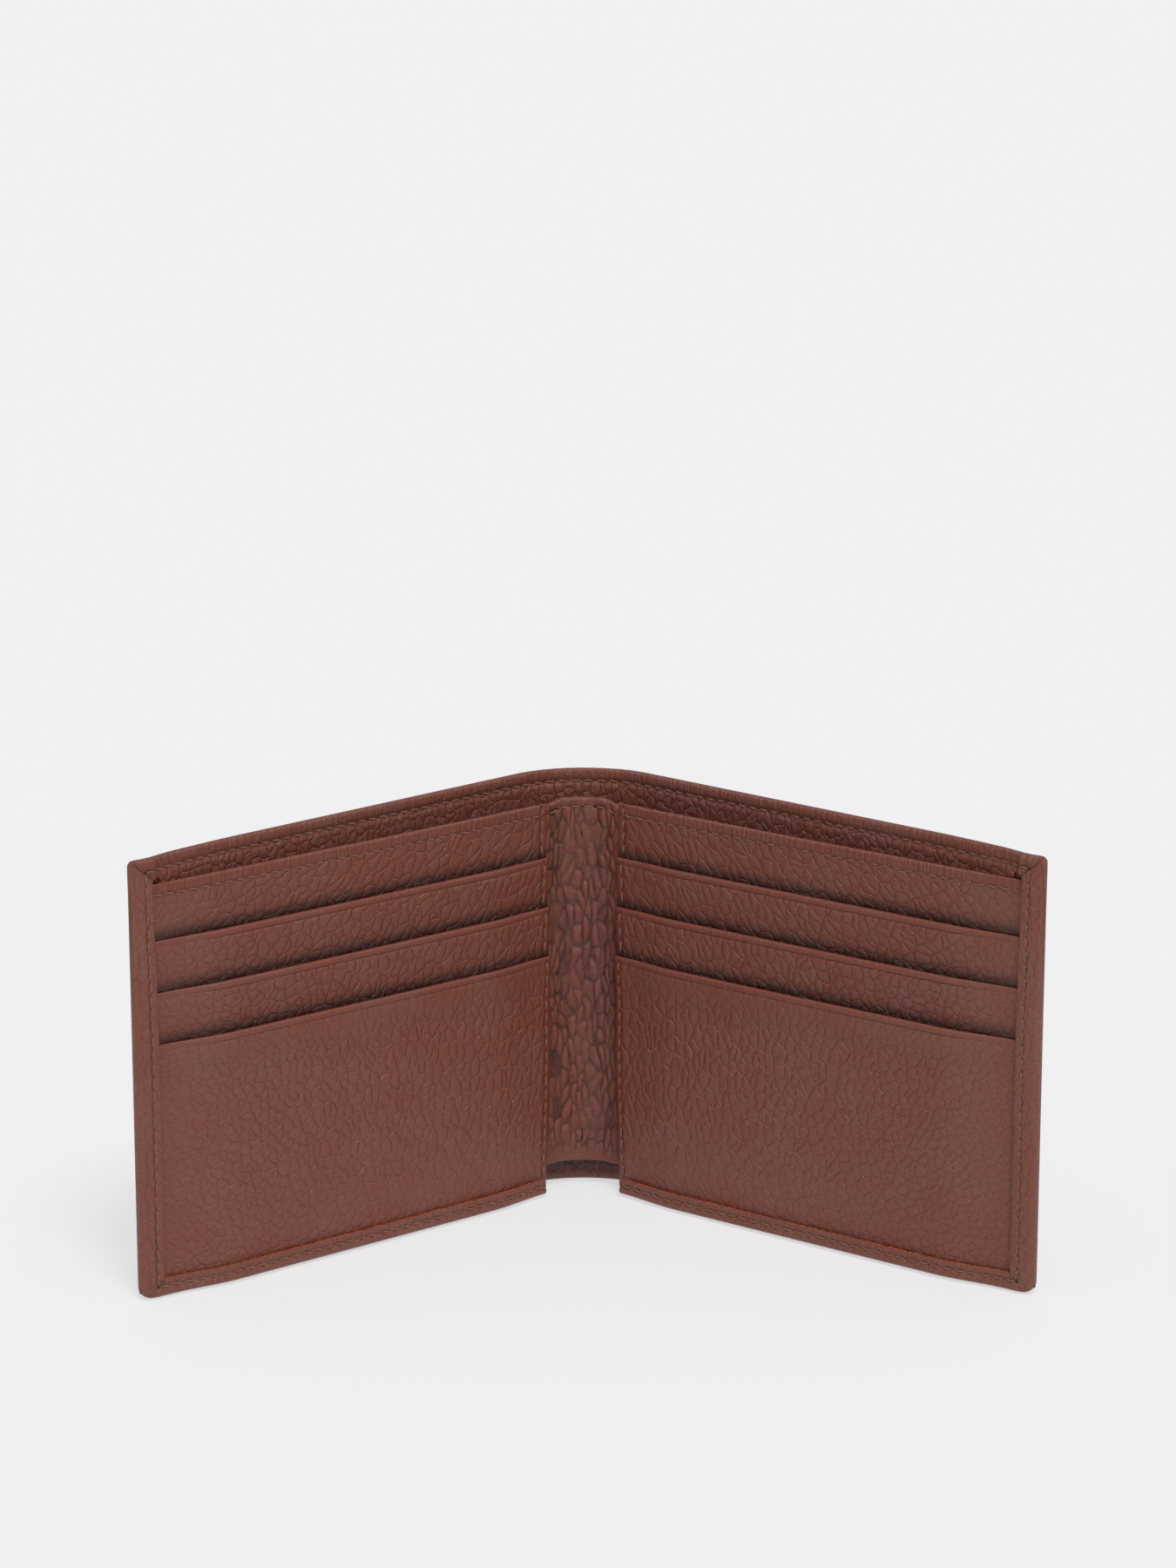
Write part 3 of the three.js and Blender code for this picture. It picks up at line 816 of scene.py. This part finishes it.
def make_bill_lining():
    s = np.concatenate([stations(0, 26, 0.6), stations(26, S_EDGE - 2, 1.2)[1:]])
    z = stations(LINING_FOOT, LINING_TOP, 1.2)
    s, z = np.meshgrid(s, z, indexing="ij")
    patches = []
    for leaf in LEAVES:
        v = back_v(leaf, s, z) + COVER_T / 2 + CLOTH_T / 2
        patches.append(patch(leaf, bend(leaf, s, v, z), leaf.side * s, z))
    lining = build_sheet("bill_lining_cloth", patches, CLOTH_T, [CLOTH], bevel=0.04)
    for leaf, half in zip(LEAVES, split_in_two(lining)):
        bend_with(leaf, half)
        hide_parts(leaf.node("bill_lining"), "bill_lining_spine")


# The card side: panels, pockets and the cloth in them

def inner_edge_shift(u, z):
    """The inner edge runs a little outwards towards the foot."""
    shift = 0.9 * smooth((34 - z) / 34) + 0.35 * smooth((14 - z) / 14)
    return shift * (1 - smooth((u - STACK_INNER) / 30))


def stack_v(u, v, roll=0.0):
    """Depth in the stack after its inner seam has pressed it."""
    inset = u - STACK_INNER
    dent = 0.14 * ridge(inset - INNER_SEAM, 0.45)
    return v * pressed(u) - dent - roll * np.clip(1 - inset / 1.3, 0, 1) ** 2


def layer_bulge(index, z):
    """A pocket's mouth stands forward, because its edge is turned behind it."""
    bulge = MOUTH_BULGE if index else PANEL_BULGE
    return bulge * smooth((z - (LAYER_TOPS[index] - MOUTH_HEIGHT)) / (0.8 * MOUTH_HEIGHT))


def crease_height(index):
    """The pressed line under a pocket's mouth, or the panel's seam."""
    return LAYER_TOPS[index] - (POCKET_CREASE if index else PANEL_SEAM)


def layer_v(index, u, z):
    """Middle of a layer's leather below its fold."""
    crease_at = crease_height(index)
    sag = 0.12 * value_noise(u / 23 + index * 7, z / 17 + index, 3 + index)
    face = LAYER_FRONTS[index] - POCKET_T / 2 + layer_bulge(index, z) + sag
    groove = 0.22 * ridge(z - crease_at, 0.3) - 0.12 * smooth((z - crease_at) / 0.7)
    return stack_v(u, face - groove, 0.12 * (index + 1))


def layer_masks(index, u, z):
    """Where the leather is pressed smooth, burnished or pleated, and where shade is painted above the next
    pocket's mouth.
    """
    crease_at = crease_height(index)
    margin = 1 - smooth((u - STACK_INNER - INNER_SEAM) / 1.2)
    band = smooth((z - crease_at + 0.4) / 0.5)
    flatter = 0.5 * smooth((u - (OUTER - 30)) / 22)
    if index == len(LAYERS) - 1:
        flatter = np.maximum(flatter, 0.5 * smooth((22 - z) / 22))
        flatter = np.maximum(flatter, 0.5 * smooth((z - crease_at + 8) / 7))
    # Painted shade: darker just above the next pocket's mouth, which shades this layer there
    shade = 0.0
    if index < len(LAYERS) - 1:
        shade = ridge(np.maximum(z - LAYER_TOPS[index + 1], 0), MOUTH_SHADE)
    return {
        "smoothness": np.maximum(np.maximum(flatter, 0.9 * margin), 0.85 * band),
        "burnish": np.maximum(margin, 0.35 * band),
        "pleats": band * (0.3 if index else 1.0),
        "cavity": shade + 0 * u,
    }


def layer_sheet(leaf, index):
    """One leather layer of the card side, with its turned top edge."""
    name = LAYERS[index]
    foot = RIGHT.extent(name)[0][2]
    fold_z = LAYER_TOPS[index] - POCKET_T / 2 - POCKET_FOLD
    us = np.concatenate([stations(STACK_INNER, STACK_INNER + 4, 0.25),
                         stations(STACK_INNER + 4, STACK_OUTER, 0.8)[1:]])
    front_zs = np.concatenate([stations(foot, fold_z - 5, 0.9), stations(fold_z - 5, fold_z, 0.2)[1:]])
    top_v = layer_v(index, us, np.full_like(us, fold_z))
    rows = []
    for z in front_zs:
        rows.append((layer_v(index, us, np.full_like(us, z)), z, z, 1.0))
    for theta in np.linspace(0, math.pi, 11)[1:]:
        z = fold_z + POCKET_FOLD * math.sin(theta)
        v = top_v - POCKET_FOLD * (1 - math.cos(theta)) * skived(us)
        rows.append((v, z, fold_z + POCKET_FOLD * theta, lerp(1.0, FLAP_T / POCKET_T, theta / math.pi)))
    for down in np.linspace(0, FLAP, 6)[1:]:
        drop = layer_bulge(index, fold_z) - layer_bulge(index, fold_z - down)
        v = top_v - (2 * POCKET_FOLD - 0.24 * smooth(down / 2)) * skived(us) - drop * pressed(us)
        rows.append((v, fold_z - down, fold_z + POCKET_FOLD * math.pi + down, FLAP_T / POCKET_T))
    u = np.repeat(us[:, None], len(rows), axis=1)
    v, z, unrolled, thick = columns(rows, us)
    points = leaf.place(u + inner_edge_shift(u, z), v, z)
    masks = layer_masks(index, u, unrolled)
    masks["thickness"] = thick * skived(u)
    sheet = patch(leaf, points, u, unrolled + 41 * index, sweeping_grain, **masks)
    obj = build_sheet(f"{name}_leather_{leaf.name}", [sheet], POCKET_T, [POCKET_LEATHER])
    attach(obj, leaf.body)
    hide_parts(leaf.node(name))


def pocket_cloth(leaf, name):
    """Thin cloth that makes the pocket's depth behind its leather front."""
    low, high = RIGHT.extent(name)
    us, zs = stations(STACK_INNER + 0.9, STACK_OUTER, 1.5), stations(low[2], high[2], 2.5)
    u, z = np.meshgrid(us, zs, indexing="ij")
    points = leaf.place(u + inner_edge_shift(u, z), stack_v(u, (low[1] + high[1]) / 2), z)
    sheet = patch(leaf, points, u, z)
    obj = build_sheet(f"{name}_cloth_{leaf.name}", [sheet], CLOTH_T * 0.8, [CLOTH], bevel=0.03)
    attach(obj, leaf.body)
    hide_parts(leaf.node(name))


# The centre strip

def strip_path(s):
    """Plan of the strip at a length s from its middle: x, y and heading, for the right side."""
    fine = np.linspace(0, 40, 2001)
    heading = RIGHT.turn * smooth(fine / STRIP_BEND)
    step = fine[1]
    x = np.concatenate([[0], np.cumsum(np.cos(heading[:-1]) * step)])
    y = np.concatenate([[0], np.cumsum(-np.sin(heading[:-1]) * step)])
    sine, cosine = math.sin(RIGHT.turn), math.cos(RIGHT.turn)
    y += HINGE_Y + (STRIP_BEHIND - (x[-1] - HINGE_X) * sine) / cosine - y[-1]
    return np.interp(s, fine, x), np.interp(s, fine, y), np.interp(s, fine, heading)


def wing_drop(s):
    """The strip's top sinks behind the panels."""
    return WING_DROP * smooth((s - WING_DROP_FROM) / WING_DROP_OVER)


def strip_relief(x, z):
    """Deep upright wrinkles: long rounded ridges between narrow grooves."""
    wander = 0.9 * value_noise(x / 4 + 31, z / 7, 21) + 0.3 * value_noise(x / 1.5 + 31, z / 2.5, 27)
    pebbles = cell_edges((x + wander) / 1.65 + 30, z / 4.6 + 3, 22)
    folds = value_noise((x + wander) / 1.5 + 11, z / 26 + 5, 24)
    depth = 0.7 + 0.3 * value_noise(x / 3 + 17, z / 8 + 7, 25)
    rise = STRIP_WRINKLE * (smooth(pebbles / 0.7) - 0.6) * depth + 0.24 * folds
    # Painted shade and dirt: darker in the grooves between the ridges and in the folds
    cavity = (1 - smooth(pebbles / 0.26)) * depth + 0.25 * smooth(-folds * 1.6)
    return rise, np.clip(cavity, 0, 1)


def strip_points(leaf, s, z, behind):
    path_x, path_y, heading = strip_path(s)
    x = leaf.side * (path_x + np.sin(heading) * behind)
    return np.stack([x, path_y + np.cos(heading) * behind, z], axis=-1)


def strip_bow(s, z):
    """The strip is pressed back a little between its top and its foot."""
    return 0.35 * np.sin(math.pi * z / PANEL_TOP) * np.cos(math.pi / 2 * np.clip(s / 9, 0, 1))


def strip_patch(leaf):
    """One side of the strip, bending onto its leaf, with its turned top."""
    top, fold = PANEL_TOP + STRIP_RISE, STRIP_FOLD
    z_fold = top - STRIP_T / 2 - fold
    rows = []
    for z in stations(STRIP_FOOT + STRIP_T / 2, z_fold, 0.3):
        rows.append((z, 0.0, z, 1.0, 1.0))
    for theta in np.linspace(0, math.pi, 9)[1:]:
        z, behind = z_fold + fold * math.sin(theta), fold * (1 - math.cos(theta))
        rows.append((z, behind, z_fold + fold * theta, 0.8, 1.0))
    for down in np.linspace(0, STRIP_FLAP, 8)[1:]:
        behind = 2 * fold - 0.2 * smooth(down / 3)
        rows.append((z_fold - down, behind, z_fold + fold * math.pi + down, 0.6, 0.0))
    z, behind, unrolled, thick, rough = (np.array(column, float) for column in zip(*rows))
    s = stations(0, HINGE_X + STACK_INNER + 4, 0.22)
    s, z = np.meshgrid(s, z, indexing="ij")
    z = z - wing_drop(s) * z / PANEL_TOP
    rise, cavity = strip_relief(leaf.side * s, z)
    calm = (smooth((top - z - 1.0) / 2.2) * 0.6 + 0.4) * smooth((z - STRIP_FOOT - 0.6) / 4) * rough
    seam = 0.22 * ridge(unrolled - (top - STRIP_SEAM), 0.4)
    back = behind + strip_bow(s, z) - rise * calm + seam
    unrolled, thick = (np.broadcast_to(row, s.shape) for row in (unrolled, thick))
    points = strip_points(leaf, s, z, back)
    return patch(leaf, points, leaf.side * s, unrolled, thickness=thick, cavity=cavity * calm)


def make_strip():
    patches = [strip_patch(leaf) for leaf in LEAVES]
    strip = build_sheet("centre_strip_leather", patches, STRIP_T, [STRIP_LEATHER])
    for leaf, half in zip(LEAVES, split_in_two(strip)):
        bend_with(leaf, half, u_end=3.0)
        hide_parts("centre_strip", leaf.node("strip_wing"))


# Stitches

SIDES = 7


def tube_faces(base, rings):
    """Quads between rings of SIDES vertices, and a cap at each end."""
    faces = []
    for k in range(rings - 1):
        for i in range(SIDES):
            j = (i + 1) % SIDES
            low, high = base + k * SIDES, base + (k + 1) * SIDES
            faces.append((low + i, low + j, high + j, high + i))
    faces.append(tuple(base + i for i in reversed(range(SIDES))))
    faces.append(tuple(base + (rings - 1) * SIDES + i for i in range(SIDES)))
    return faces


def unit(vectors):
    return vectors / np.linalg.norm(vectors, axis=-1, keepdims=True)


def ring(centre, first, second, radius):
    angles = np.linspace(0, 2 * math.pi, SIDES, endpoint=False)
    return centre + radius * (np.cos(angles)[:, None] * first + np.sin(angles)[:, None] * second)


def thread_rings(sample, centre_at, half, rng):
    """One stitch: it rises out of its needle hole, lies slightly askew and dives into the next."""
    ts = np.linspace(-1, 1, 9)
    at = centre_at + ts * half
    centre, up = sample(at)
    forward = unit(sample(at + 0.2)[0] - sample(at - 0.2)[0])
    aside = np.cross(forward, up)
    slant, lift = rng.uniform(0.05, 0.16), rng.uniform(0.8, 1.15)
    arch = 0.2 * lift * (1 - ts ** 4) - 0.34 * np.abs(ts) ** 5
    centre = centre + up * arch[:, None] + aside * (slant * ts)[:, None]
    radius = THREAD_R * (1 - 0.3 * np.abs(ts) ** 3)
    return [ring(centre[k], aside[k], 0.85 * up[k], radius[k]) for k in range(len(ts))]


def hole_rings(sample, at):
    """A needle hole: a small dark lens, mostly sunk in the leather; its dark colour is painted shade inside
    the hole.
    """
    centre, up = sample(at)
    forward = unit(sample(at + 0.2)[0] - sample(at - 0.2)[0])
    aside = np.cross(forward, up)
    return [ring(centre + up * height, forward, aside, radius)
            for radius, height in ((0.32, -0.14), (0.32, -0.03), (0.2, 0.01))]


def make_seam(name, runs, seed, first_hole=True):
    """All stitches of one seam. A run is (points, outward normals), close together, in mm."""
    rng = random.Random(seed)
    verts, faces, slots, uvs = [], [], [], []

    def add(rings, slot):
        made = tube_faces(len(verts), len(rings))
        for k, one in enumerate(rings):
            verts.extend(tuple(point * MM) for point in one)
        faces.extend(made)
        slots.extend([slot] * len(made))
        for k in range(len(rings) - 1):
            for i in range(SIDES):
                uvs.extend([(k, i), (k, i + 1), (k + 1, i + 1), (k + 1, i)])
        uvs.extend([(0, i) for i in range(2 * SIDES)])

    for points, normals in runs:
        length = np.concatenate([[0], np.cumsum(np.linalg.norm(np.diff(points, axis=0), axis=1))])
        count = max(1, round(length[-1] / STITCH_PITCH))
        pitch = length[-1] / count

        def sample(at):
            at = np.clip(at, 0, length[-1])
            point, normal = (np.stack([np.interp(at, length, column) for column in a.T], axis=-1)
                             for a in (points, normals))
            return point, unit(normal)

        for n in range(count):
            half = pitch * 0.37 * rng.uniform(0.94, 1.04)
            add(thread_rings(sample, (n + 0.5) * pitch, half, rng), 0)
        for n in range(0 if first_hole else 1, count + 1):
            add(hole_rings(sample, n * pitch), 1)
    mesh = bpy.data.meshes.new(name)
    mesh.from_pydata(verts, [], faces)
    mesh.uv_layers.new(name="leather").data.foreach_set("uv", np.array(uvs, np.float32).ravel() * 0.5)
    mesh.materials.append(THREAD)
    mesh.materials.append(HOLE_SHADE)
    mesh.polygons.foreach_set("material_index", slots)
    mesh.polygons.foreach_set("use_smooth", np.ones(len(faces), bool))
    obj = add_object(name, mesh)
    return obj


def on_cover(leaf, part, s, z):
    """Points on the front face of a hem, with their outward normals."""
    s, z = np.broadcast_arrays(np.asarray(s, float), z)
    v = hem_v(leaf, part, s, z) + HEM_T / 2 * COVER_T
    points = bend(leaf, s, v, z)
    return points, unit(bend(leaf, s, v + 0.5, z) - points)


def on_stack(leaf, u, z, index):
    """Points on the front face of a layer, with their outward normals."""
    u, z = np.broadcast_arrays(np.asarray(u, float), z)
    v = layer_v(index, u, z) + POCKET_T / 2 * skived(u)
    points = leaf.place(u + inner_edge_shift(u, z), v, z)
    return points, np.broadcast_to(np.append(leaf.front, 0.0), points.shape)


def make_cover_top_seam(leaf):
    s = np.linspace(0, S_EDGE - SIDE_SEAM, 500)
    seam = make_seam(f"seam_cover_top_thread_{leaf.name}", [on_cover(leaf, "top", s, HEIGHT - TOP_SEAM)],
                     11 + leaf.side, first_hole=leaf.side < 0)
    bend_with(leaf, seam)
    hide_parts(leaf.node("seam_cover_top"), "seam_cover_top_spine")


def make_edge_seam(leaf):
    """Down the outer edge and in along the bottom."""
    s, z = S_EDGE - SIDE_SEAM, np.linspace(HEIGHT - TOP_SEAM, BOTTOM_SEAM, 300)
    side = on_cover(leaf, "side", s, z)
    s = np.linspace(S_EDGE - SIDE_SEAM, LEAF_START + BOTTOM_HEM_START + 0.9, 400)
    bottom = on_cover(leaf, "bottom", s, BOTTOM_SEAM)
    seam = make_seam(f"seam_edge_thread_{leaf.name}", [side, bottom], 23 + leaf.side)
    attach(seam, leaf.body)
    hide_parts(leaf.node("seam_edge"))


def make_panel_seam(leaf):
    u = np.linspace(STACK_INNER + INNER_SEAM, S_HEM - LEAF_START, 400)
    run = on_stack(leaf, u, PANEL_TOP - PANEL_SEAM, 0)
    seam = make_seam(f"seam_panel_top_thread_{leaf.name}", [run], 35 + leaf.side)
    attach(seam, leaf.body)
    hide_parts(leaf.node("seam_panel_top"))


def make_inner_seam(leaf):
    """Up the inner edge, over each pocket's mouth in turn."""
    runs = []
    u = STACK_INNER + INNER_SEAM
    foot = BOTTOM_SEAM + 1.8
    for index in reversed(range(len(LAYERS))):
        top = LAYER_TOPS[index] - (0.9 if index else 0.6)
        runs.append(on_stack(leaf, u, np.linspace(foot, top, 200), index))
        foot = LAYER_TOPS[index] + 0.3
    seam = make_seam(f"seam_inner_thread_{leaf.name}", runs, 47 + leaf.side)
    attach(seam, leaf.body)
    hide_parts(leaf.node("seam_inner"))


def make_strip_seam(leaf):
    s = np.linspace(0, HINGE_X + STACK_INNER - 0.6, 200)
    z = PANEL_TOP + STRIP_RISE - STRIP_SEAM - wing_drop(s)
    back = strip_bow(s, z) + 0.22 - STRIP_T / 2
    points = strip_points(leaf, s, z, back)
    normals = unit(strip_points(leaf, s, z, back - 0.5) - points)
    seam = make_seam(f"seam_strip_thread_{leaf.name}", [(points, normals)], 59 + leaf.side, leaf.side < 0)
    bend_with(leaf, seam, u_end=3.0)
    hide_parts("seam_strip_top")


# The CAD nodes that stay

def finish_dividers():
    for leaf in LEAVES:
        NODES[leaf.node("divider")].data.materials.clear()
        NODES[leaf.node("divider")].data.materials.append(CLOTH)


# Floor, light and camera

def make_floor():
    """A floor wide enough to fill the view to the top from any side."""
    mesh = bpy.data.meshes.new("floor")
    rows = [(x, y, -0.1 * MM) for y in (-FLOOR_REACH, FLOOR_REACH) for x in (-FLOOR_REACH, FLOOR_REACH)]
    mesh.from_pydata(rows, [], [(0, 1, 3, 2)])
    material, _, _, shader = new_material("floor")
    shader.inputs["Base Color"].default_value = (FLOOR_ALBEDO, FLOOR_ALBEDO, FLOOR_ALBEDO, 1)
    shader.inputs["Emission Color"].default_value = (1, 1, 1, 1)
    shader.inputs["Emission Strength"].default_value = FLOOR_GLOW
    shader.inputs["Roughness"].default_value = 0.9
    shader.inputs["Specular IOR Level"].default_value = 0.0
    mesh.materials.append(material)
    add_object("floor", mesh)


def make_lights():
    """A dome that is brightest overhead, and one soft key from above, in front and to the right."""
    world = bpy.data.worlds.new("studio")
    world.use_nodes = True
    g = Graph(world.node_tree.nodes, world.node_tree.links)
    up = g.add("ShaderNodeSeparateXYZ", {0: g.add("ShaderNodeTexCoord").outputs["Generated"]}).outputs["Z"]
    dome = g.math("MULTIPLY_ADD", g.math("MAXIMUM", up, 0.0), DOME_ZENITH, DOME_HORIZON)
    g.set(g.nodes["Background"], "Strength", dome)
    g.set(g.nodes["Background"], "Color", (1.0, 1.0, 1.0, 1.0))
    bpy.context.scene.world = world
    light = bpy.data.lights.new("key", "SUN")
    light.energy = KEY
    light.angle = math.radians(22)
    key = bpy.data.objects.new("key", light)
    key.rotation_euler = (math.radians(34), 0, math.radians(14))
    bpy.context.scene.collection.objects.link(key)


def make_camera():
    """A long lens, a little above the wallet and a little left of its middle."""
    camera = bpy.data.cameras.new("camera")
    camera.lens = 111
    camera.sensor_width = 36
    camera.clip_end = 60
    obj = bpy.data.objects.new("camera", camera)
    obj.location = (-18.0 * MM, -978.8 * MM, (313.45 + HEIGHT / 2) * MM)
    obj.rotation_euler = (math.radians(90 - 14.85), 0, math.radians(-1.09))
    bpy.context.scene.collection.objects.link(obj)
    bpy.context.scene.camera = obj
    bpy.context.scene.view_settings.view_transform = "Standard"


make_camera()
make_lights()
make_floor()
make_cover()
make_bill_lining()
for wallet_leaf in LEAVES:
    for layer in range(len(LAYERS)):
        layer_sheet(wallet_leaf, layer)
    pocket_cloth(wallet_leaf, "pocket_upper_lining")
    pocket_cloth(wallet_leaf, "pocket_middle_lining")
    make_cover_top_seam(wallet_leaf)
    make_edge_seam(wallet_leaf)
    make_panel_seam(wallet_leaf)
    make_inner_seam(wallet_leaf)
    make_strip_seam(wallet_leaf)
make_strip()
finish_dividers()
